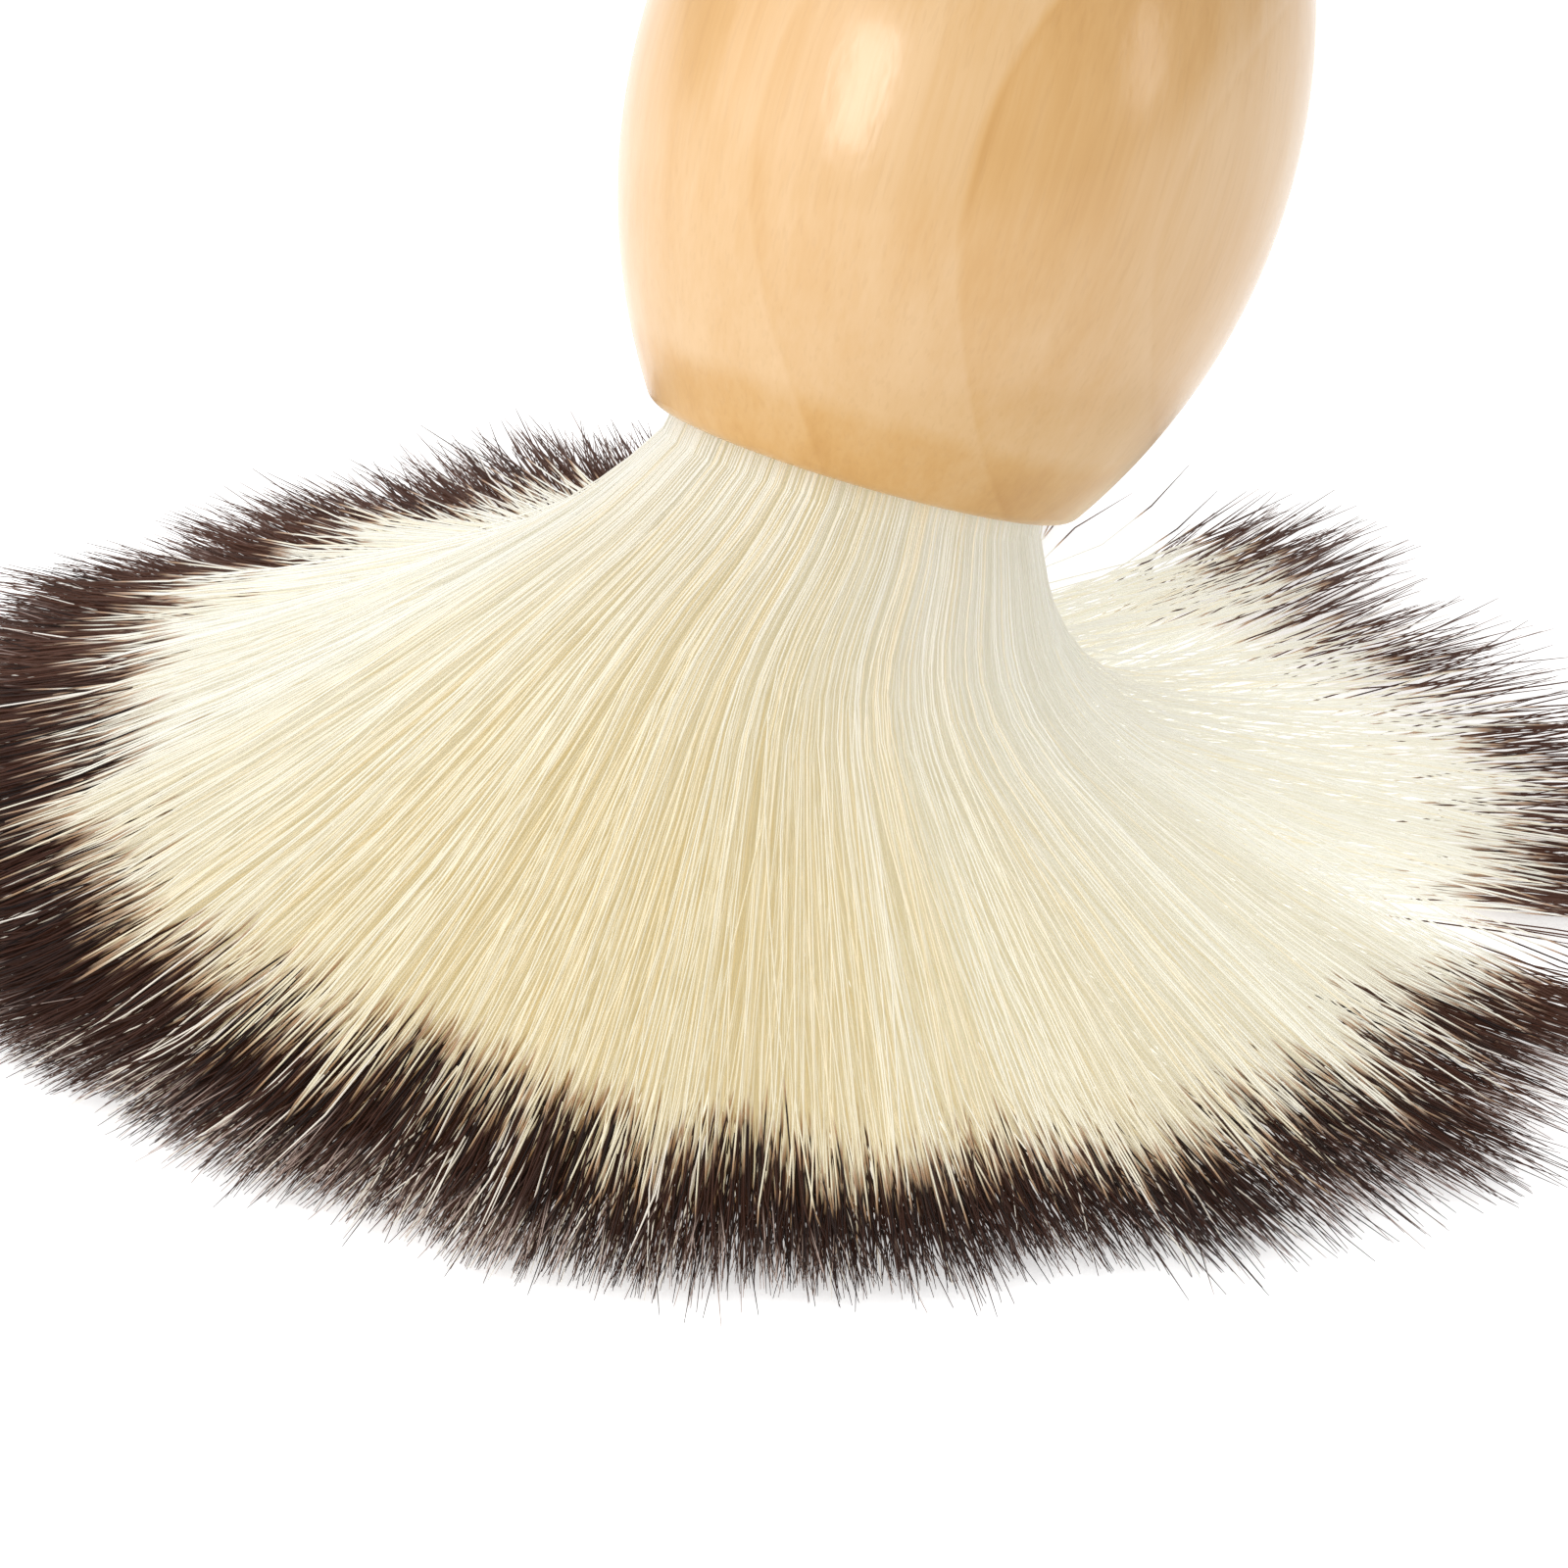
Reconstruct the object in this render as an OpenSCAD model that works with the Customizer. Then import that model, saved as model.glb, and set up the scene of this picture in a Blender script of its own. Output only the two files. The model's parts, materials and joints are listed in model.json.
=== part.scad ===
// Fade brush: a short barrel-shaped wooden handle with a round knot of soft
// synthetic filaments, modelled with the knot pressed down and spread out flat.
// Millimetres, +Z up. The surface that the filaments lie on is Z = 0, and the
// origin is the centre of the disc that their tips reach.

/* [Handle] */
// Height of the turned handle along its own axis
handle_h = 43; // [40:1:50]
// Radius of the barrel at its widest place
belly_r = 19.4; // [18.5:0.1:21]
// Height of the widest place above the mouth
belly_h = 21.5; // [19:0.5:24]
// Radius of the arc that the barrel's side follows
side_arc_r = 38; // [36:1:44]
// Rounding of the mouth's outer edge
mouth_round = 1.4; // [0.6:0.1:2]
// Rounding of the top's outer edge
top_round = 3; // [2:0.5:4]

/* [Knot] */
// Diameter of the knot that the socket is drilled for
knot_d = 22; // [20:0.5:22]
// Depth of the drilled socket
socket_depth = 18; // [16:1:22]
// Thickness of the adhesive between the socket's wall and the knot
adhesive_t = 0.25; // [0.1:0.05:0.4]
// Height of the cast resin plug that holds the filaments
plug_h = 12; // [10:0.5:13]
// Radius of the bound end of the filament bundle
bound_r = 9; // [7.5:0.1:9]
// Radius of the binding thread
thread_r = 0.3; // [0.2:0.05:0.3]
// Turns of binding thread round the bundle
thread_turns = 6; // [3:1:8]

/* [Pose of the pressed brush] */
// Tilt of the handle's axis from upright, in degrees
lean = 21.3; // [15:0.1:24]
// Compass direction that the handle tilts towards, in degrees from +X
lean_azimuth = 52.5; // [0:0.5:90]
// Place of the mouth's centre along X
mouth_x = 3.5; // [2:0.5:5]
// Place of the mouth's centre along Y
mouth_y = 1; // [-1:0.5:3]
// Height of the mouth's centre above the surface
mouth_z = 23; // [22:0.5:27]

/* [Spread filaments] */
// Radius of the disc that the spread tips reach
fan_r = 54.9; // [50:0.1:60]
// Place along X that the tufts point away from
spread_x = -0.4; // [-2:0.1:2]
// Place along Y that the tufts point away from
spread_y = -4.1; // [-5:0.1:0]
// Distance from that place to a tuft's inner end
tuft_start = 15; // [14.5:0.5:18]
// Thickness of a tuft at its inner end
tuft_root_t = 4; // [3:0.5:4.5]
// Thickness of a tuft at its tip
tuft_tip_t = 1.8; // [1:0.1:2.5]
// Radius of the arc that the neck flares along
flare_r = 36; // [34:1:60]
// Height of the flared neck's lower edge above the surface
skirt_z = 6.8; // [6.5:0.1:9]

/* [Closed filaments] */
// Distance from the handle's axis to a closed tuft's inner end
closed_r = 7; // [6:0.5:8]
// Angle that a closed tuft flares out from the handle's axis, in degrees
closed_flare = 9; // [6:0.5:14]
// Gap between neighbouring tufts when the brush is closed
tuft_gap = 0.5; // [0.4:0.05:0.8]

/* [Hidden] */

cut = 1;                                  // how far a cutting shape runs past what it cuts
$fn = 96;

// Handle
side_x = belly_r - side_arc_r;            // how far the side arc's centre lies from the axis

// Socket and plug
knot_r = knot_d / 2;
socket_r = knot_r + adhesive_t;
cushion_t = 2;                            // adhesive between the plug and the socket's end
plug_top = socket_depth - cushion_t;
plug_bottom = plug_top - plug_h;
plug_roof = 3;                            // resin above the filaments' bound end
bound_top = plug_top - plug_roof;

// Binding thread
thread_inner_gap = 0.03;                  // between the thread and the filaments
thread_outer_gap = 0.07;                  // between the thread and the plug
thread_ring_r = bound_r + thread_inner_gap + thread_r;
cavity_r = thread_ring_r + thread_r + thread_outer_gap;
thread_bite = 0.15;                       // share of its width by which a turn bites into the next
thread_pitch = 2 * thread_r * (1 - thread_bite);
thread_drop = 1.5;                        // from the top of the bundle to the top of the band
thread_h = bound_top - thread_drop - thread_pitch * thread_turns;

// Neck and core
neck_gap = 0.35;                          // between the neck and the socket's wall
neck_r = socket_r - neck_gap;
swell_start = 0.5;                        // how far below the plug the bundle starts to swell
swell_end = 3;                            // how far below the plug it is as wide as the neck
straight_h = 3;                           // length of neck below the mouth before it flares
flare_h = mouth_z + 4;                    // long enough to reach the lower edge all round
flare_facets = 6;                         // facets along the flare
core_r = closed_r - 3;
core_gap = 0.3;                           // gap above and below the core

// Tufts
tuft_count = 16;
wedge = 360 / tuft_count;
slim_share = 0.3;                         // share of its length that a tuft slims down quickly in
slim_t = (tuft_root_t + tuft_tip_t) / 2;  // its thickness there

// Distance from the axis to the centre of an edge rounding that touches both the end face
// and the barrel's side, for a rounding of radius r whose end face is h away from the belly
function round_x(r, h) = side_x + sqrt(pow(side_arc_r - r, 2) - pow(h - r, 2));

// Where that rounding meets the barrel's side: [distance from axis, distance from end face]
function round_end(r, h) =
    let (x = round_x(r, h), k = side_arc_r / (side_arc_r - r))
    [side_x + k * (x - side_x), h - k * (h - r)];

// Draws children in the handle's own frame: mouth centre at the origin, handle along +Z
module on_handle() {
    translate([mouth_x, mouth_y, mouth_z])
        rotate([0, lean, lean_azimuth])
            children();
}

// One end of the barrel's half outline, from the end face at y = 0 up to the rounding's end
module rounded_end(r, h) {
    x = round_x(r, h);
    e = round_end(r, h);
    translate([x, r]) circle(r = r);
    polygon([[0, 0], [x, 0], [x, r], e, [0, e[1]]]);
}

module barrel_outline() {
    top_h = handle_h - belly_h;
    mouth_e = round_end(mouth_round, belly_h);
    top_e = round_end(top_round, top_h);
    rounded_end(mouth_round, belly_h);
    translate([0, handle_h]) mirror([0, 1]) rounded_end(top_round, top_h);
    intersection() {
        translate([side_x, belly_h]) circle(r = side_arc_r, $fn = 240);
        translate([0, mouth_e[1]]) square([belly_r + cut, handle_h - top_e[1] - mouth_e[1]]);
    }
}

// Turned hardwood handle with a blind socket drilled into its mouth
module wooden_handle() {
    color("burlywood")
    on_handle()
    difference() {
        rotate_extrude($fn = 180) barrel_outline();
        translate([0, 0, -cut]) cylinder(r = socket_r, h = socket_depth + cut);
    }
}

// Adhesive: a sleeve round the plug and a cushion at the socket's end
module socket_adhesive() {
    color("wheat")
    on_handle()
    difference() {
        translate([0, 0, plug_bottom]) cylinder(r = socket_r, h = socket_depth - plug_bottom);
        translate([0, 0, plug_bottom - cut]) cylinder(r = knot_r, h = plug_h + cut);
    }
}

// Cast resin plug, hollow where it grips the bound end of the filaments
module knot_plug() {
    color("lemonchiffon")
    on_handle()
    difference() {
        translate([0, 0, plug_bottom]) cylinder(r = knot_r, h = plug_h);
        translate([0, 0, plug_bottom - cut]) cylinder(r = cavity_r, h = bound_top - plug_bottom + cut);
    }
}

// Thread wound round the bundle before the resin is cast
module binding_thread() {
    color("ivory")
    on_handle()
    for (turn = [0 : thread_turns - 1])
        translate([0, 0, thread_h + turn * thread_pitch])
            rotate_extrude()
                translate([thread_ring_r, 0]) circle(r = thread_r, $fn = 24);
}

// Common root of the filaments: bound end, and neck that flares below the mouth
module bristle_neck() {
    bundle = [[0, bound_top], [bound_r, bound_top], [bound_r, plug_bottom - swell_start],
              [neck_r, plug_bottom - swell_end]];
    flare = [for (i = [0 : flare_facets])
        let (h = i * flare_h / flare_facets)
        [neck_r + flare_r - sqrt(pow(flare_r, 2) - pow(h, 2)), -straight_h - h]];
    color("ivory")
    intersection() {
        on_handle()
        rotate_extrude()
            polygon(concat(bundle, flare, [[0, -straight_h - flare_h]]));
        translate([0, 0, fan_r + skirt_z]) cube(2 * fan_r, center = true);
    }
}

// Innermost filaments, standing between the neck and the surface
module bristle_core() {
    color("ivory")
    translate([spread_x, spread_y, core_gap])
        cylinder(r = core_r, h = skirt_z - 2 * core_gap);
}

// Outer filaments between two neighbouring rays, lying flat with their tips on the disc's edge
module tuft(i) {
    azimuth = (i - 1) * wedge;
    half_start = closed_r * tan(wedge / 2) - tuft_gap / 2;
    widening = sin(closed_flare) * tan(wedge / 2);
    reach = 2 * fan_r;                    // runs well past the disc that trims it
    length = fan_r - tuft_start - (spread_x * cos(azimuth) + spread_y * sin(azimuth));
    color("cornsilk")
    intersection() {
        translate([spread_x, spread_y, 0])
        rotate([0, 0, azimuth])
        translate([tuft_start, 0, 0])
        intersection() {
            linear_extrude(height = tuft_root_t)
                polygon([[0, -half_start], [reach, -half_start - reach * widening],
                         [reach, half_start + reach * widening], [0, half_start]]);
            rotate([90, 0, 0])
                linear_extrude(height = reach, center = true)
                    polygon([[0, 0], [reach, 0], [reach, tuft_tip_t], [length, tuft_tip_t],
                             [slim_share * length, slim_t], [0, tuft_root_t]]);
        }
        cylinder(r = fan_r, h = tuft_root_t, $fn = 180);
    }
}

wooden_handle();
socket_adhesive();
knot_plug();
binding_thread();
bristle_neck();
bristle_core();
tuft(1);  // tuft_01
tuft(2);  // tuft_02
tuft(3);  // tuft_03
tuft(4);  // tuft_04
tuft(5);  // tuft_05
tuft(6);  // tuft_06
tuft(7);  // tuft_07
tuft(8);  // tuft_08
tuft(9);  // tuft_09
tuft(10);  // tuft_10
tuft(11);  // tuft_11
tuft(12);  // tuft_12
tuft(13);  // tuft_13
tuft(14);  // tuft_14
tuft(15);  // tuft_15
tuft(16);  // tuft_16
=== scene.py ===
"""Looks for the fade brush: a lacquered wooden handle, and a knot of filaments spread out over the floor."""

import json
import math

import bpy
import numpy as np
from mathutils import Matrix, Vector


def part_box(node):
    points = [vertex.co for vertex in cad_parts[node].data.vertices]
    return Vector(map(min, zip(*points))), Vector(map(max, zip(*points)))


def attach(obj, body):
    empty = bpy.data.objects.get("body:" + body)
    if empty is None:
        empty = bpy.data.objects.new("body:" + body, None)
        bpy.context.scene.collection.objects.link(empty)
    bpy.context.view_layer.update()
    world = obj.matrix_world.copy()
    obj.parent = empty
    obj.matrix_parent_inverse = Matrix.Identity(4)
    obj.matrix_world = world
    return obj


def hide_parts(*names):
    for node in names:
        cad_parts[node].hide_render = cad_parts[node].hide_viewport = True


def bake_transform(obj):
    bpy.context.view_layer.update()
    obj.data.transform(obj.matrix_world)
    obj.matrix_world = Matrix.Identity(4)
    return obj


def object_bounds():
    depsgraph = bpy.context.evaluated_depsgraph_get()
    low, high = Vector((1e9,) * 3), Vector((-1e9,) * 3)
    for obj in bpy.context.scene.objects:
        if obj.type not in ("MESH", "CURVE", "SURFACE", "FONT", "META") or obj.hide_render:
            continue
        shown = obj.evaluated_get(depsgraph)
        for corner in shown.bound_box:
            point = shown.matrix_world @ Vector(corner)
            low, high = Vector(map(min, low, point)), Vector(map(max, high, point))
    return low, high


MM = 0.001
SEED = 11

# How many filaments the fullest and the thinnest tuft have, and how many clumps they gather in
MOST_STRANDS = 1150
FEWEST_STRANDS = 140
MOST_CLUMPS = 70
FEWEST_CLUMPS = 26

# A filament is a tube: the places of its rings from 0 at its root to 1 at its tip, its radius, and where it
# starts to taper
RING_SHARES = np.array([0, 0.08, 0.13, 0.17, 0.21, 0.25, 0.3, 0.36, 0.46, 0.6, 0.76, 0.89, 1])
STRAND_R = 0.061 * MM
TIP_R = 0.02 * MM
TAPER_START = 0.89

# The UV map is divided into columns, from warm to pale. The cream's warmth is painted light: warmer deep in
# the dense knot, paler where the floor's light shines through thin layers. Each filament has the colouring of
# its column, and v runs from root to tip. CLUMP_COLUMNS neighbouring columns share a part of where their dye
# starts
COLUMNS = 128
CLUMP_COLUMNS = 8
ROOT_V = 0.01
TIP_V = 0.99
UNDYED_TIP_V = 0.6                  # tip of a filament that ends before the dye starts
EARLY_DYE = 0.64                    # power that makes v grow faster where the dye starts early

# The course of a filament, in millimetres. It flares as it leaves the mouth and bends down to its knee, where
# the skirt begins. A knee is its distance from the knot's middle and its height
KNOT_R = 10.9                       # radius of the knot in the mouth
NECK_FLARE = 0.52                   # outwards per unit of length, for the outermost filaments
INNER_KNEE = (8, 0.6)
FAR_KNEE = (25, 6.6)                # outermost filaments on the side that the mouth faces away from
FACING_KNEE = (22, 16.6)            # outermost filaments on the side that the mouth faces
SAG = 1.35                          # power of the curve in which the skirt comes down to the floor
ROOT_DEPTH = 3                      # how far inside the mouth a filament starts
CORE_R = 7                          # radius of the bundle of short filaments in the middle

# How unruly the filaments are: standard deviations in millimetres, unless the note says otherwise
TIP_SPREAD = 1.2                    # where single filaments end
CLUMP_SPREAD = 1.8                  # where clumps end
THIN_SPREAD = 1.8                   # how many times more the tips spread on the thin side
INNER_SHORTER = 3.2                 # how much sooner the innermost filaments end than the outermost
LIFT = 0.4                          # height above the filaments below
SLOW_BEND = 1.5                     # bend to the side over the whole length
TIP_BEND = 1.3                      # bend to the side near the tip
WAVE = 0.25                         # small waves
TIP_RISE = 0.8                      # height that the last stretch rises by
LOWEST = 0.15                       # least height above the floor

# Where the knot is uneven. A direction is seen from straight above, in degrees from +X, and widths and angles
# are in degrees too
PARTINGS = ((63, 9, 10), (-13, 8, 10))          # direction, width, and angle that filaments turn aside by
SWEEP = (28, 30, 8)                             # direction, width, and angle that filaments are swept by
THINNEST = 35                                   # direction of the fewest filaments
WARMEST_PAINTED_CREAM = (250, 60)                             # direction and width of the warmest cream, painted light deep in the dense knot
DYED_MOST = (187, 68)                           # direction and width of the earliest start of the dye
LENGTHS = ((125, 42, -4.4), (-95, 45, 2.0))     # direction, width, and extra length in millimetres


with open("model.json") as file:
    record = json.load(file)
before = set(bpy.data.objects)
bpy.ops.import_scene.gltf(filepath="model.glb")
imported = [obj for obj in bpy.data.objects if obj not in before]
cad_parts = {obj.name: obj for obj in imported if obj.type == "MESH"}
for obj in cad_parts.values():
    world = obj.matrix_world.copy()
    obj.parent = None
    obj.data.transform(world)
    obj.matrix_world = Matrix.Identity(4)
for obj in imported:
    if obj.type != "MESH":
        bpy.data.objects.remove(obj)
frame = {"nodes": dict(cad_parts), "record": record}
cad_low, cad_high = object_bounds()


# ---------------------------------------------------------------- places, all taken from the frame

def node_points(name):
    return np.array([v.co for v in frame["nodes"][name].data.vertices])


def middle(name):
    low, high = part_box(name)
    return (low + high) / 2


handle_mount = frame["record"]["mounts"][0]
AXIS = np.array(handle_mount["axis"])
TOP = np.array(handle_mount["pos_m"])
HANDLE_H = -((node_points("wooden_handle") - TOP) @ AXIS).min()
MOUTH = TOP - AXIS * HANDLE_H
HANDLE_MIDDLE = TOP - AXIS * HANDLE_H / 2
FAN_R = (cad_high.x - cad_low.x) / 2
SPREAD = np.array([middle("tuft_05").x, middle("tuft_01").y, 0.0])
TUFTS = sorted(n for n in frame["nodes"] if n.startswith("tuft_"))
WEDGE = 2 * math.pi / len(TUFTS)
LEAN_AZIMUTH = math.atan2(AXIS[1], AXIS[0])

# turns directions seen from straight above into directions round the handle's axis
TO_HANDLE = np.array(Vector((0, 0, 1)).rotation_difference(Vector(AXIS)).to_matrix())


# ---------------------------------------------------------------- filament shapes

def smooth(x):
    """Rises from 0 at 0 to 1 at 1, level at both ends."""
    x = np.clip(x, 0, 1)
    return x * x * (3 - 2 * x)


def lerp(a, b, t):
    return a + (b - a) * t


def flat_direction(azimuth):
    return np.stack([np.cos(azimuth), np.sin(azimuth), np.zeros_like(azimuth)], -1)


def away_from(azimuth, centre):
    """Angle from the centre direction in degrees to each azimuth in radians, between -180 and 180 degrees."""
    return (np.degrees(azimuth) - centre + 180) % 360 - 180


def near(azimuth, centre, width):
    """1 in the centre direction, falling to 0 on either side."""
    return np.exp(-(away_from(azimuth, centre) / width) ** 2)


def fullness(azimuth):
    """0 in the direction of the fewest filaments, 1 on the opposite side."""
    return 0.5 - 0.5 * np.cos(azimuth - math.radians(THINNEST))


def mouth_faces(azimuth):
    """1 on the side that the leaning handle's mouth faces, 0 on the opposite side."""
    return (0.5 - 0.5 * np.cos(azimuth - LEAN_AZIMUTH)) ** 0.85


def bezier(p0, p1, p2, p3, count):
    t = np.linspace(0, 1, count)[None, :, None]
    s = 1 - t
    return (s**3 * p0[:, None] + 3 * s**2 * t * p1[:, None]
            + 3 * s * t**2 * p2[:, None] + t**3 * p3[:, None])


def resample(points, shares):
    """Points at the given shares of each line's length."""
    step = np.linalg.norm(np.diff(points, axis=1), axis=2)
    run = np.concatenate([np.zeros((len(points), 1)), np.cumsum(step, axis=1)], axis=1)
    wanted = shares[None, :] * run[:, -1:]
    out = np.empty((len(points), len(shares), 3))
    for i in range(len(points)):
        for axis in range(3):
            out[i, :, axis] = np.interp(wanted[i], run[i], points[i, :, axis])
    return out


def centrelines(azimuth, share, tip_r, lift):
    """Lines from inside the mouth, down the neck, and out over the floor like a skirt.

    share is 0 at the middle of the knot and 1 at its edge, and tip_r is how far from the disc's centre a line
    ends. On the side that the mouth faces, filaments bend little and stay high. On the other side they bend
    sharply.
    """
    flat = flat_direction(azimuth)
    ring = flat @ TO_HANDLE.T
    facing = mouth_faces(azimuth)
    root = MOUTH + ring * (KNOT_R * MM * share)[:, None]
    down = -AXIS + ring * (NECK_FLARE * share)[:, None]
    down /= np.linalg.norm(down, axis=1)[:, None]

    outer_r = lerp(FAR_KNEE[0], FACING_KNEE[0], facing)
    outer_z = lerp(FAR_KNEE[1], FACING_KNEE[1], facing)
    knee_r = lerp(INNER_KNEE[0], outer_r, share**1.5) * MM
    knee_z = lerp(INNER_KNEE[1], outer_z, share**1.6) * MM + lift
    knee = SPREAD + flat * knee_r[:, None]
    knee[:, 2] = knee_z
    # outer filaments end on top of inner ones
    tip_z = (0.3 + 0.7 * share) * MM + 0.6 * lift

    # where a ray from the knee meets the circle of radius tip_r
    along = np.einsum("ij,ij->i", knee[:, :2], flat[:, :2])
    gap = (knee[:, :2] ** 2).sum(1) - tip_r**2
    reach = -along + np.sqrt(np.maximum(along**2 - gap, 0))

    # the neck ends in the direction in which the skirt starts
    out = flat * reach[:, None]
    out[:, 2] = -(knee_z - tip_z) * SAG
    out /= np.linalg.norm(out, axis=1)[:, None]
    span = np.linalg.norm(knee - root, axis=1)[:, None]
    start_handle = down * span * 0.38
    end_handle = out * span * 0.5
    neck_points = 28
    neck = bezier(root, root + start_handle, knee - end_handle, knee, neck_points)

    skirt_points = 14
    t = np.linspace(0, 1, skirt_points)[None, 1:, None]
    skirt = knee[:, None] + (flat * reach[:, None])[:, None] * t
    skirt[..., 2] = tip_z[:, None] + (knee_z - tip_z)[:, None] * (1 - t[..., 0]) ** SAG
    start = (root + AXIS * ROOT_DEPTH * MM)[:, None]
    return np.concatenate([start, neck, skirt], axis=1)


def scatter(index, rng, count, spread):
    """Azimuth, share, tip radius and lift of filaments or clumps placed at random in one tuft.

    The tips follow a slightly wavy outline.
    """
    azimuth = (index + rng.random(count) - 0.5) * WEDGE
    share = np.sqrt(rng.random(count))
    outline = 0.8 * np.sin(7 * azimuth + 1) + 0.7 * np.sin(17 * azimuth) + 0.6 * np.sin(41 * azimuth)
    longer = sum(extra * near(azimuth, centre, width) for centre, width, extra in LENGTHS)
    spread = spread * MM * lerp(THIN_SPREAD, 1, fullness(azimuth))
    tip_r = FAN_R - (1 - share**2) * INNER_SHORTER * MM
    tip_r = tip_r + rng.normal(0, 1, count) * spread + (outline + longer) * MM
    lift = np.abs(rng.normal(0, LIFT * MM, count))
    return azimuth, share, tip_r, lift


def tuft_lines(index, rng, count):
    """Centrelines of one tuft's filaments, gathered into clumps and slightly unruly.

    Also each filament's sideways direction, its azimuth and its clump's number.
    """
    shares = RING_SHARES
    own = scatter(index, rng, count, TIP_SPREAD)
    clumps = int(lerp(FEWEST_CLUMPS, MOST_CLUMPS, fullness(index * WEDGE)))
    heads = scatter(index, rng, clumps, CLUMP_SPREAD)
    lines = resample(centrelines(*own), shares)
    guides = resample(centrelines(*heads), shares)
    azimuth, share = own[:2]

    # each filament leans towards the nearest clump, more on the thin side, and more and more towards its tip
    turn_weight = 3.2
    far = ((azimuth[:, None] - heads[0]) * turn_weight) ** 2 + (share[:, None] - heads[1]) ** 2
    nearest = far.argmin(1)
    pull = rng.uniform(0.05, 0.65, count) + 0.25 * (1 - fullness(azimuth))
    pull = pull[:, None, None] * (0.15 + 0.85 * shares)[None, :, None]
    lines = lines + (guides[nearest] - lines) * pull

    # each one bends a little to the side and up on its way
    flat = flat_direction(azimuth)
    side = np.stack([-flat[:, 1], flat[:, 0], np.zeros(count)], -1)
    bow = rng.normal(0, SLOW_BEND * MM, count)[:, None] * smooth(shares)[None] ** 2
    bow = bow + rng.normal(0, TIP_BEND * MM, count)[:, None] * shares[None] ** 7
    phase = shares[None] * rng.uniform(5, 12, count)[:, None] + rng.uniform(0, 6.3, count)[:, None]
    wave = rng.normal(0, WAVE * MM, count)[:, None] * np.sin(phase) * smooth(shares * 2)[None]
    rise = np.abs(rng.normal(0, TIP_RISE * MM, count))[:, None] * smooth((shares - 0.7) / 0.3)[None] ** 2
    lines = lines + side[:, None] * (bow + wave)[..., None]
    lines[..., 2] = np.maximum(lines[..., 2] + rise, LOWEST * MM)

    # where the knot parts, filaments turn to both sides, and on the thin side they are swept round
    direction, width, angle = SWEEP
    turn = angle * near(azimuth, direction, width)[:, None] * smooth(shares)[None]
    for direction, width, angle in PARTINGS:
        sideways = np.sign(away_from(azimuth, direction)) * near(azimuth, direction, width)
        sideways = sideways * rng.uniform(0.4, 1, count)
        turn = turn + angle * sideways[:, None] * smooth(shares * 1.4 - 0.4)[None]
    turn = np.radians(turn)
    flat_x, flat_y = lines[..., 0] - SPREAD[0], lines[..., 1] - SPREAD[1]
    lines[..., 0] = SPREAD[0] + flat_x * np.cos(turn) - flat_y * np.sin(turn)
    lines[..., 1] = SPREAD[1] + flat_x * np.sin(turn) + flat_y * np.cos(turn)
    return lines, side, azimuth, nearest


def tube_points(lines, side):
    """Three corners round each point of each line, closer together towards the tip."""
    along = np.gradient(lines, axis=1)
    along /= np.linalg.norm(along, axis=2, keepdims=True)
    normal = side[:, None] - np.einsum("nmk,nk->nm", along, side)[..., None] * along
    normal /= np.linalg.norm(normal, axis=2, keepdims=True)
    other = np.cross(along, normal)
    radius = lerp(STRAND_R, TIP_R, smooth((RING_SHARES - TAPER_START) / (1 - TAPER_START)))
    corner = np.arange(3) * 2 * math.pi / 3
    ring = (normal[:, :, None] * np.cos(corner)[None, None, :, None]
            + other[:, :, None] * np.sin(corner)[None, None, :, None])
    return lines[:, :, None] + ring * radius[None, :, None, None]


def tube_faces(count, points):
    """Corner numbers of the sides and of the end caps of closed three-sided tubes."""
    base = (np.arange(count) * points * 3)[:, None, None]
    j = (np.arange(points - 1) * 3)[None, :, None]
    c = np.arange(3)[None, None, :]
    d = (c + 1) % 3
    quads = np.stack([base + j + c, base + j + d, base + j + 3 + d, base + j + 3 + c], -1).reshape(-1, 4)
    first = base[:, 0] + np.array([[2, 1, 0]])
    last = base[:, 0] + (points - 1) * 3 + np.array([[0, 1, 2]])
    return quads, np.concatenate([first, last])


def tube_uvs(count, points, columns, early, tip_v):
    """UVs of the same faces. A tube's sides take the middle three fifths of its column."""
    fifth = 0.2
    c = np.arange(3)[None, None, :]
    u0 = columns[:, None, None] + fifth + fifth * c
    stretched = RING_SHARES[None] ** lerp(1, EARLY_DYE, early)[:, None]
    low, high = stretched[:, :-1, None], stretched[:, 1:, None]
    shape = (count, points - 1, 3)
    us = np.stack([np.broadcast_to(x, shape) for x in (u0, u0 + fifth, u0 + fifth, u0)], -1)
    vs = np.stack([np.broadcast_to(x, shape) for x in (low, low, high, high)], -1)
    sides = np.stack([us / COLUMNS, lerp(ROOT_V, tip_v, vs)], -1).reshape(-1, 2)
    cap_u = (columns[:, None] + np.array([[0.3, 0.5, 0.7]])) / COLUMNS
    caps = [np.stack([cap_u, np.full_like(cap_u, v)], -1).reshape(-1, 2) for v in (ROOT_V, tip_v)]
    return np.concatenate([sides, *caps])


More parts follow.
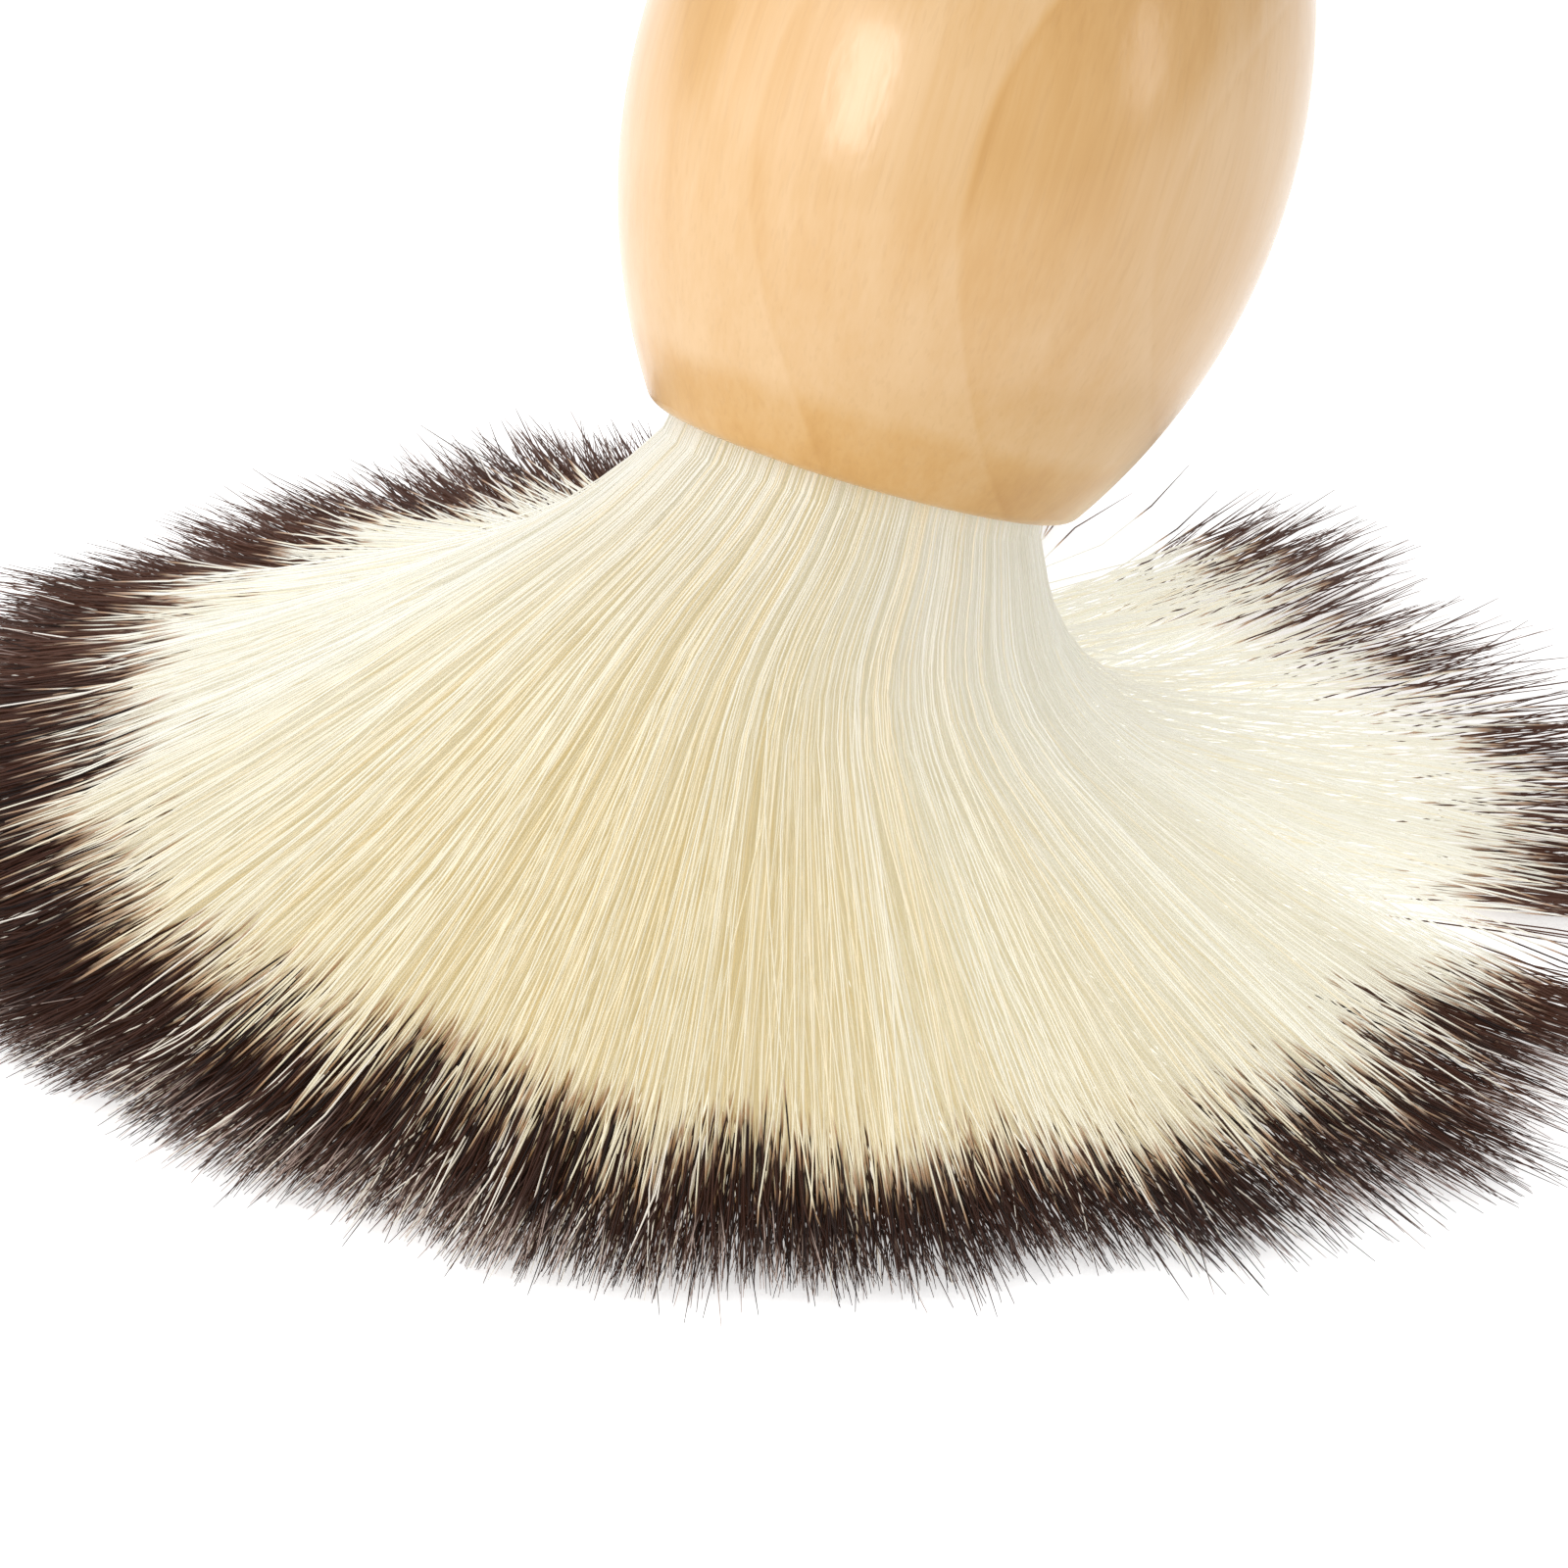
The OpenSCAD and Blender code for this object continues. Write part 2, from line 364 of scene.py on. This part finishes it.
def strand_mesh(name, lines, side, columns, early, material, tip_v=TIP_V):
    """One closed, tapering three-sided tube per line.

    early is 1 for filaments whose dyed end starts much earlier than usual.
    """
    count, points = lines.shape[:2]
    quads, tris = tube_faces(count, points)
    mesh = bpy.data.meshes.new(name)
    mesh.vertices.add(count * points * 3)
    mesh.vertices.foreach_set("co", tube_points(lines, side).astype(np.float32).ravel())
    mesh.loops.add(quads.size + tris.size)
    mesh.loops.foreach_set("vertex_index", np.concatenate([quads.ravel(), tris.ravel()]).astype(np.int32))
    starts = np.concatenate([np.arange(len(quads)) * 4, quads.size + np.arange(len(tris)) * 3])
    mesh.polygons.add(len(starts))
    mesh.polygons.foreach_set("loop_start", starts.astype(np.int32))
    mesh.polygons.foreach_set("use_smooth", np.ones(len(starts), bool))
    mesh.update(calc_edges=True)

    uvs = tube_uvs(count, points, columns, early, tip_v)
    layer = mesh.uv_layers.new(name="OFBake")
    layer.uv.foreach_set("vector", uvs.astype(np.float32).ravel())
    mesh.materials.append(material)
    hair = bpy.data.objects.new(name, mesh)
    bpy.context.scene.collection.objects.link(hair)
    return hair


# ---------------------------------------------------------------- materials

class Nodes:
    """Short names for building a material's node tree."""

    def __init__(self, name):
        self.material = bpy.data.materials.new(name)
        self.material.use_nodes = True
        self.tree = self.material.node_tree
        self.shader = self.tree.nodes["Principled BSDF"]

    def add(self, kind, inputs=None, **settings):
        node = self.tree.nodes.new(kind)
        for key, value in settings.items():
            setattr(node, key, value)
        for key, value in (inputs or {}).items():
            self.put(node, key, value)
        return node

    def put(self, node, key, value):
        if isinstance(value, bpy.types.NodeSocket):
            self.tree.links.new(value, node.inputs[key])
        else:
            node.inputs[key].default_value = value

    def shade(self, **inputs):
        """Sets the shader's inputs, whose names are written with _ for each space, and gives the material."""
        for key, value in inputs.items():
            self.put(self.shader, key.replace("_", " "), value)
        return self.material

    def math(self, operation, a, b=0.0, c=0.0):
        return self.add("ShaderNodeMath", {0: a, 1: b, 2: c}, operation=operation).outputs[0]

    def around(self, base, centre, noise, amount):
        """base, made higher or lower where the noise is above or below its centre value."""
        return self.math("MULTIPLY_ADD", self.math("SUBTRACT", noise, centre), amount, base)

    def ramp(self, value, stops):
        node = self.add("ShaderNodeValToRGB", {"Fac": value})
        elements = node.color_ramp.elements
        while len(elements) < len(stops):
            elements.new(0.5)
        for element, (place, colour) in zip(elements, stops):
            element.position = place
            element.color = (*colour, 1)
        return node.outputs["Color"]

    def level(self, value, *stops):
        """A grey ramp from pairs of place and brightness."""
        return self.ramp(value, [(place, (bright, bright, bright)) for place, bright in stops])

    def mix(self, factor, a, b, blend="MIX"):
        node = self.add("ShaderNodeMix", data_type="RGBA", blend_type=blend)
        self.put(node, 0, factor)
        for key, colour in ((6, a), (7, b)):
            self.put(node, key, (*colour, 1) if isinstance(colour, tuple) else colour)
        return node.outputs[2]

    def noise(self, vector, scale, detail=2.0, rough=0.5):
        inputs = {"Vector": vector, "Scale": scale, "Detail": detail, "Roughness": rough}
        return self.add("ShaderNodeTexNoise", inputs).outputs["Fac"]

    def bump(self, height, strength, distance):
        node = self.add("ShaderNodeBump", {"Height": height, "Strength": strength, "Distance": distance})
        return node.outputs["Normal"]


def handle_space(n, along_grain=1):
    """Coordinates in the handle's own frame, in metres, with Z along the grain.

    An along_grain below 1 draws noise out along the grain.
    """
    coords = n.add("ShaderNodeTexCoord").outputs["Object"]
    turn = Matrix(TO_HANDLE.tolist()).transposed().to_euler()
    turned = n.add("ShaderNodeMapping", {"Vector": coords, "Rotation": turn}, vector_type="POINT")
    scale = {"Vector": turned.outputs[0], "Scale": (1, 1, along_grain)}
    return n.add("ShaderNodeMapping", scale, vector_type="POINT").outputs[0]


def growth_rings(n, place, height):
    """A slowly changing number whose whole part counts the growth rings.

    The board was cut well away from the tree's heart, so the rings show as long, slow curves. They bow along
    the grain, and wander a little.
    """
    from_heart_x = 52 * MM
    from_heart_y = 18 * MM
    bow_height = 20 * MM                # where a ring comes nearest to the heart's line
    bow = -22.0                         # per metre
    first_ring = 53.25 * MM
    spacing = 12 * MM
    drift = 5 * MM
    across = n.math("ADD", place.outputs["X"], from_heart_x)
    depth = n.math("ADD", place.outputs["Y"], from_heart_y)
    squares = n.math("ADD", n.math("MULTIPLY", across, across), n.math("MULTIPLY", depth, depth))
    from_bow = n.math("SUBTRACT", height, bow_height)
    bowed = n.math("MULTIPLY_ADD", n.math("MULTIPLY", from_bow, from_bow), bow, n.math("SQRT", squares))
    slow_noise = n.noise(handle_space(n, 0.25), 45)
    wandering = n.math("MULTIPLY_ADD", slow_noise, drift, n.math("SUBTRACT", bowed, first_ring))
    return n.math("DIVIDE", wandering, spacing)


def wood_material():
    n = Nodes("lacquered_maple")
    plain = handle_space(n)
    place = n.add("ShaderNodeSeparateXYZ", {"Vector": plain})
    height = n.math("SUBTRACT", place.outputs["Z"], float(MOUTH @ AXIS))
    share_up = n.math("DIVIDE", height, float(HANDLE_H))

    # the wood darkens at the start of each ring, and every second ring turns golden towards the top
    rings = growth_rings(n, place, height)
    figure = n.level(n.math("FRACT", rings), (0, 0.42), (0.07, 0.46), (0.4, 0.5), (0.97, 0.55), (1, 0.42))
    pair = n.math("FRACT", n.math("DIVIDE", rings, 2.0))
    second = n.level(pair, (0, 0), (0.015, 1), (0.4, 0.85), (0.5, 0), (1, 0))
    upper = n.level(share_up, (0, 0), (0.2, 0), (0.48, 1), (1, 1))
    golden = n.math("MULTIPLY", second, upper)

    fibre = n.noise(handle_space(n, 0.02), 2600, 3.0, 0.6)
    streak = n.noise(handle_space(n, 0.06), 420, 3.0, 0.55)
    cloud = n.noise(plain, 70)
    pores = n.noise(handle_space(n, 0.05), 3800, 1.0)
    fleck = n.level(pores, (0, 1), (0.34, 1), (0.4, 0), (1, 0))
    tone = n.around(figure, 0.5, streak, 0.42)
    tone = n.around(tone, 0.5, cloud, 0.5)
    tone = n.around(tone, 0.5, fibre, 0.22)
    tone = n.math("MULTIPLY_ADD", golden, -0.22, tone)

    # a band at the mouth's edge is painted darker and more golden: painted shade and painted reflection of
    # the cream filaments, where the barrel curves in and faces down. The lacquer sinks into the end grain on
    # top
    mouth_shade_band = 8 * MM
    from_mouth = n.math("DIVIDE", height, mouth_shade_band)
    near_mouth = n.level(from_mouth, (0, 1), (0.45, 0.75), (0.6, 0), (1, 0))
    end_grain = n.level(share_up, (0, 0), (0.965, 0), (0.995, 1), (1, 1))
    # painted shade: darker and more golden at the mouth's edge
    tone = n.math("MULTIPLY_ADD", near_mouth, -0.26, tone)
    colour = n.ramp(tone, [(0.0, (0.50, 0.25, 0.06)), (0.3, (0.60, 0.345, 0.122)),
                           (0.55, (0.655, 0.422, 0.203)), (1.0, (0.74, 0.52, 0.295))])
    colour = n.mix(n.math("MULTIPLY", fleck, 0.09), colour, (0.42, 0.22, 0.08))

    coat_roughness = n.math("MULTIPLY_ADD", cloud, 0.08, 0.15)
    grain_height = n.math("MULTIPLY_ADD", fleck, -0.5, fibre)
    coat_height = n.noise(handle_space(n, 0.45), 420, 3.0)
    return n.shade(
        Base_Color=colour,
        Roughness=n.math("MULTIPLY_ADD", fibre, 0.12, 0.40),
        Normal=n.bump(grain_height, 0.12, 0.04 * MM),
        Coat_Weight=n.math("MULTIPLY_ADD", end_grain, -0.5, 0.8),
        Coat_IOR=1.5,
        Coat_Roughness=n.math("MULTIPLY_ADD", end_grain, 0.25, coat_roughness),
        Coat_Normal=n.bump(coat_height, 0.45, 0.18 * MM),
    )


def filament_material():
    n = Nodes("dyed_filament")
    uv = n.add("ShaderNodeUVMap", uv_map="OFBake").outputs["UV"]
    parts = n.add("ShaderNodeSeparateXYZ", {"Vector": uv})
    along = parts.outputs["Y"]
    column = n.math("FLOOR", n.math("MULTIPLY", parts.outputs["X"], COLUMNS))
    clump = n.math("FLOOR", n.math("DIVIDE", column, CLUMP_COLUMNS))
    painted_paleness = n.math("DIVIDE", column, COLUMNS)

    def chance(seed, group=column):
        """A number between 0 and 1, picked for each column or clump."""
        shifted = n.math("ADD", group, seed)
        return n.add("ShaderNodeTexWhiteNoise", {"W": shifted}, noise_dimensions="1D").outputs["Value"]

    # dyed ends start a little earlier or later in each clump and each filament, and a few were never dyed
    shift = n.math("MULTIPLY", n.math("SUBTRACT", chance(0.5), 0.5), 0.066)
    shift = n.around(shift, 0.5, chance(0.25, clump), 0.07)
    place = n.math("ADD", along, shift)
    dye = n.level(place, (0, 0), (0.815, 0), (0.835, 0.5), (0.851, 1), (1, 1))
    undyed_share = 0.04
    undyed = n.math("GREATER_THAN", chance(7.5), 1 - undyed_share)

    # cream from warm to pale, painted light that is warmer deep in the dense knot and paler where thin layers
    # let the floor's light through, greyer near the mouth, with a few honey-coloured filaments
    pale_tone_and_painted_light = n.math("MULTIPLY_ADD", chance(3.5), 0.2, n.math("MULTIPLY", painted_paleness, 0.85))
    cream = n.mix(pale_tone_and_painted_light, (0.63, 0.585, 0.46), (0.705, 0.705, 0.665))
    near_mouth = n.level(along, (0, 1), (0.2, 1), (0.55, 0), (1, 0))
    cream = n.mix(n.math("MULTIPLY", near_mouth, 0.8), cream, (0.64, 0.635, 0.60))
    honey_share = 0.12
    honey = n.math("MULTIPLY", n.math("GREATER_THAN", chance(5.5), 1 - honey_share), 0.3)
    cream = n.mix(honey, cream, (0.74, 0.63, 0.42))
    cream = n.mix(n.math("MULTIPLY", dye, undyed), cream, (0.66, 0.63, 0.60))

    # dye from dark brown to black, browner on the pale side, with orange-brown edges and some faded tips
    dye = n.math("MULTIPLY", dye, n.math("SUBTRACT", 1.0, undyed))
    brown = n.mix(chance(9.5), (0.045, 0.018, 0.012), (0.008, 0.005, 0.005))
    thin = n.level(painted_paleness, (0, 0), (0.75, 0), (0.95, 1), (1, 1))
    brown = n.mix(n.math("MULTIPLY", thin, 0.5), brown, (0.10, 0.045, 0.03))
    faded = n.level(place, (0, 0), (0.965, 0), (1, 0.7))
    tips = n.mix(n.math("MULTIPLY", faded, chance(11.5)), brown, (0.48, 0.38, 0.36))
    edge = n.level(dye, (0, 0), (0.5, 1), (1, 0))
    body = n.mix(dye, cream, tips)
    body = n.mix(n.math("MULTIPLY", edge, 0.6), body, (0.34, 0.15, 0.05))

    # a warm glow stands for the light that translucent filaments pass on to each other, painted whiter and a
    # little stronger on the thin, pale side where the floor's light shines through
    tint = n.mix(painted_paleness, (1.0, 0.89, 0.64), (1.0, 0.98, 0.92))
    return n.shade(
        Base_Color=body,
        Roughness=n.math("MULTIPLY_ADD", chance(13.5), 0.15, 0.36),
        Specular_IOR_Level=n.math("MULTIPLY_ADD", dye, -0.15, 0.35),
        Emission_Color=n.mix(1.0, body, tint, "MULTIPLY"),
        Emission_Strength=n.math("MULTIPLY_ADD", thin, 0.06, 0.45),
    )


def glue_material(name, low, high, roughness):
    """Slightly cloudy, uneven hardened liquid, between two colours."""
    n = Nodes(name)
    plain = handle_space(n)
    cloud = n.noise(plain, 260, 3.0)
    return n.shade(
        Base_Color=n.ramp(cloud, [(0.3, low), (0.7, high)]),
        Roughness=n.math("MULTIPLY_ADD", cloud, 0.2, roughness),
        Normal=n.bump(n.noise(plain, 900), 0.3, 0.1 * MM),
    )


def thread_material():
    n = Nodes("binding_thread")
    settings = {"Vector": handle_space(n), "Scale": 900, "Distortion": 1.5, "Detail": 1.0}
    wave = n.add("ShaderNodeTexWave", settings, wave_type="BANDS", bands_direction="DIAGONAL")
    twist = wave.outputs["Fac"]
    fuzz = n.noise(handle_space(n), 5200)
    return n.shade(
        Base_Color=n.ramp(twist, [(0.2, (0.72, 0.68, 0.58)), (0.8, (0.90, 0.87, 0.78))]),
        Roughness=n.math("MULTIPLY_ADD", fuzz, 0.2, 0.65),
        Normal=n.bump(n.math("ADD", twist, fuzz), 0.5, 0.05 * MM),
    )


def floor_material():
    n = Nodes("pale_floor")
    coords = n.add("ShaderNodeTexCoord").outputs["Object"]
    return n.shade(
        Base_Color=n.level(n.noise(coords, 9), (0.3, 0.90), (0.7, 0.92)),
        Roughness=0.9,
        Specular_IOR_Level=0.1,
        Emission_Color=(1, 1, 1, 1),
        Emission_Strength=0.5,
    )


# ---------------------------------------------------------------- pieces

def dress_handle():
    """Gives the handle, and what is glued into it, their materials."""
    materials = {
        "wooden_handle": wood_material(),
        "socket_adhesive": glue_material("cured_adhesive", (0.70, 0.55, 0.28), (0.80, 0.68, 0.42), 0.25),
        "knot_plug": glue_material("cast_resin", (0.80, 0.74, 0.55), (0.88, 0.84, 0.68), 0.15),
        "binding_thread": thread_material(),
    }
    for node, material in materials.items():
        frame["nodes"][node].data.materials[0] = material


def grow_tuft(index, name, material):
    """Filaments of one tuft, from inside the handle's mouth out over the floor."""
    rng = np.random.default_rng(SEED + index)
    middle_azimuth = index * WEDGE
    count = int(lerp(FEWEST_STRANDS, MOST_STRANDS, fullness(middle_azimuth)))
    lines, side, azimuth, clump = tuft_lines(index, rng, count)

    groups = COLUMNS // CLUMP_COLUMNS
    # painted light: each clump takes a column group, warm cream towards the warmest direction and pale
    # elsewhere, shifted at random
    pale_tone_and_painted_light = 1 - near(azimuth, *WARMEST_PAINTED_CREAM) + rng.uniform(-0.15, 0.15, MOST_CLUMPS)[clump]
    columns = (np.clip(pale_tone_and_painted_light, 0, 0.99) * groups).astype(int) * CLUMP_COLUMNS
    columns = columns + rng.integers(0, CLUMP_COLUMNS, count)
    hair = strand_mesh("filaments_" + name[-2:], lines, side, columns, near(azimuth, *DYED_MOST), material)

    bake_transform(hair)
    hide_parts(name)


def grow_core(material):
    """Short undyed inner filaments that stay upright under the mouth and fill the middle of the knot."""
    rng = np.random.default_rng(SEED - 1)
    count = MOST_STRANDS
    azimuth = rng.uniform(0, 2 * math.pi, count)
    share = np.sqrt(rng.random(count))
    flat = flat_direction(azimuth)
    ring = flat @ TO_HANDLE.T
    root = MOUTH + AXIS * ROOT_DEPTH * MM + ring * (share * CORE_R * MM)[:, None]
    foot = SPREAD + flat * (share * CORE_R * MM)[:, None]
    foot[:, 2] = rng.uniform(0.3, 1.5, count) * MM
    lines = root[:, None] + (foot - root)[:, None] * RING_SHARES[None, :, None]
    side = np.stack([-flat[:, 1], flat[:, 0], np.zeros(count)], -1)
    columns = rng.integers(0, COLUMNS, count)
    hair = strand_mesh("filaments_core", lines, side, columns, np.zeros(count), material, UNDYED_TIP_V)
    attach(hair, "handle")
    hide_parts("bristle_neck", "bristle_core")


# ---------------------------------------------------------------- stage, light and camera

def add_floor():
    """A pale floor under the tips. It sinks with the lowest tuft, so that closed filaments stay above it."""
    half = 3.0
    corners = [(-half, -half, 0), (half, -half, 0), (half, half, 0), (-half, half, 0)]
    mesh = bpy.data.meshes.new("floor")
    mesh.from_pydata(corners, [], [(0, 1, 2, 3)])
    floor = bpy.data.objects.new("floor", mesh)
    bpy.context.scene.collection.objects.link(floor)
    mesh.materials.append(floor_material())

    # the marker rides on that tuft, a little beyond its tips
    beyond_tips = 12 * MM
    lowest = min(range(len(TUFTS)), key=lambda i: abs(i * WEDGE - LEAN_AZIMUTH))
    out = flat_direction(np.array([lowest * WEDGE]))[0]
    marker = bpy.data.objects.new("floor_height", None)
    bpy.context.scene.collection.objects.link(marker)
    marker.location = Vector(SPREAD + out * (FAN_R + beyond_tips))
    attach(marker, TUFTS[lowest])
    follow = floor.constraints.new("COPY_LOCATION")
    follow.target = marker
    follow.use_x = follow.use_y = False


def aim(azimuth, elevation, distance):
    """A place seen from the handle's middle in the given direction, in degrees, at the given distance."""
    azimuth, elevation = math.radians(azimuth), math.radians(elevation)
    flat = math.cos(elevation)
    away = Vector((math.cos(azimuth) * flat, math.sin(azimuth) * flat, math.sin(elevation)))
    return Vector(HANDLE_MIDDLE) + away * distance


def softbox(name, place, width, height, power):
    """A rectangular lamp that faces the handle. Sizes are in metres and the power is in watts."""
    light = bpy.data.lights.new(name, "AREA")
    light.shape = "RECTANGLE"
    light.size = width
    light.size_y = height
    light.energy = power
    lamp = bpy.data.objects.new(name, light)
    bpy.context.scene.collection.objects.link(lamp)
    lamp.location = place
    lamp.rotation_euler = (Vector(HANDLE_MIDDLE) - place).to_track_quat("-Z", "Y").to_euler()


def add_lights():
    world = bpy.data.worlds.new("studio")
    world.use_nodes = True
    background = world.node_tree.nodes["Background"]
    background.inputs["Color"].default_value = (1, 1, 1, 1)
    background.inputs["Strength"].default_value = 0.55
    bpy.context.scene.world = world
    softbox("left_window", aim(-129, 19, 0.8), 0.22, 0.30, 1.7)
    softbox("right_window", aim(-31, 13, 0.8), 0.14, 0.22, 0.35)
    softbox("left_panel", aim(-165, 25, 1.1), 1.0, 1.0, 5.0)
    softbox("overhead", aim(-90, 88, 1.2), 1.2, 1.2, 4.5)


def add_camera():
    """The camera looks down from the front, slightly rolled."""
    target = Vector((0.2, 4.2, 0)) * MM
    distance = 400 * MM
    elevation = math.radians(26.9)
    roll = math.radians(3.55)
    back = Vector((0, -math.cos(elevation), math.sin(elevation)))
    right = Vector((1, 0, 0))
    up = back.cross(right)
    rolled_right = right * math.cos(roll) + up * math.sin(roll)
    rolled_up = up * math.cos(roll) - right * math.sin(roll)
    turn = Matrix((rolled_right, rolled_up, back)).transposed().to_4x4()

    data = bpy.data.cameras.new("camera")
    data.sensor_width = 36.0
    data.lens = 152.2
    camera = bpy.data.objects.new("camera", data)
    bpy.context.scene.collection.objects.link(camera)
    camera.matrix_world = Matrix.Translation(target + back * distance) @ turn
    bpy.context.scene.camera = camera


dress_handle()
filament = filament_material()
grow_core(filament)
for number, tuft_name in enumerate(TUFTS):
    grow_tuft(number, tuft_name, filament)
add_floor()
add_lights()
add_camera()
bpy.context.scene.view_settings.view_transform = "Standard"
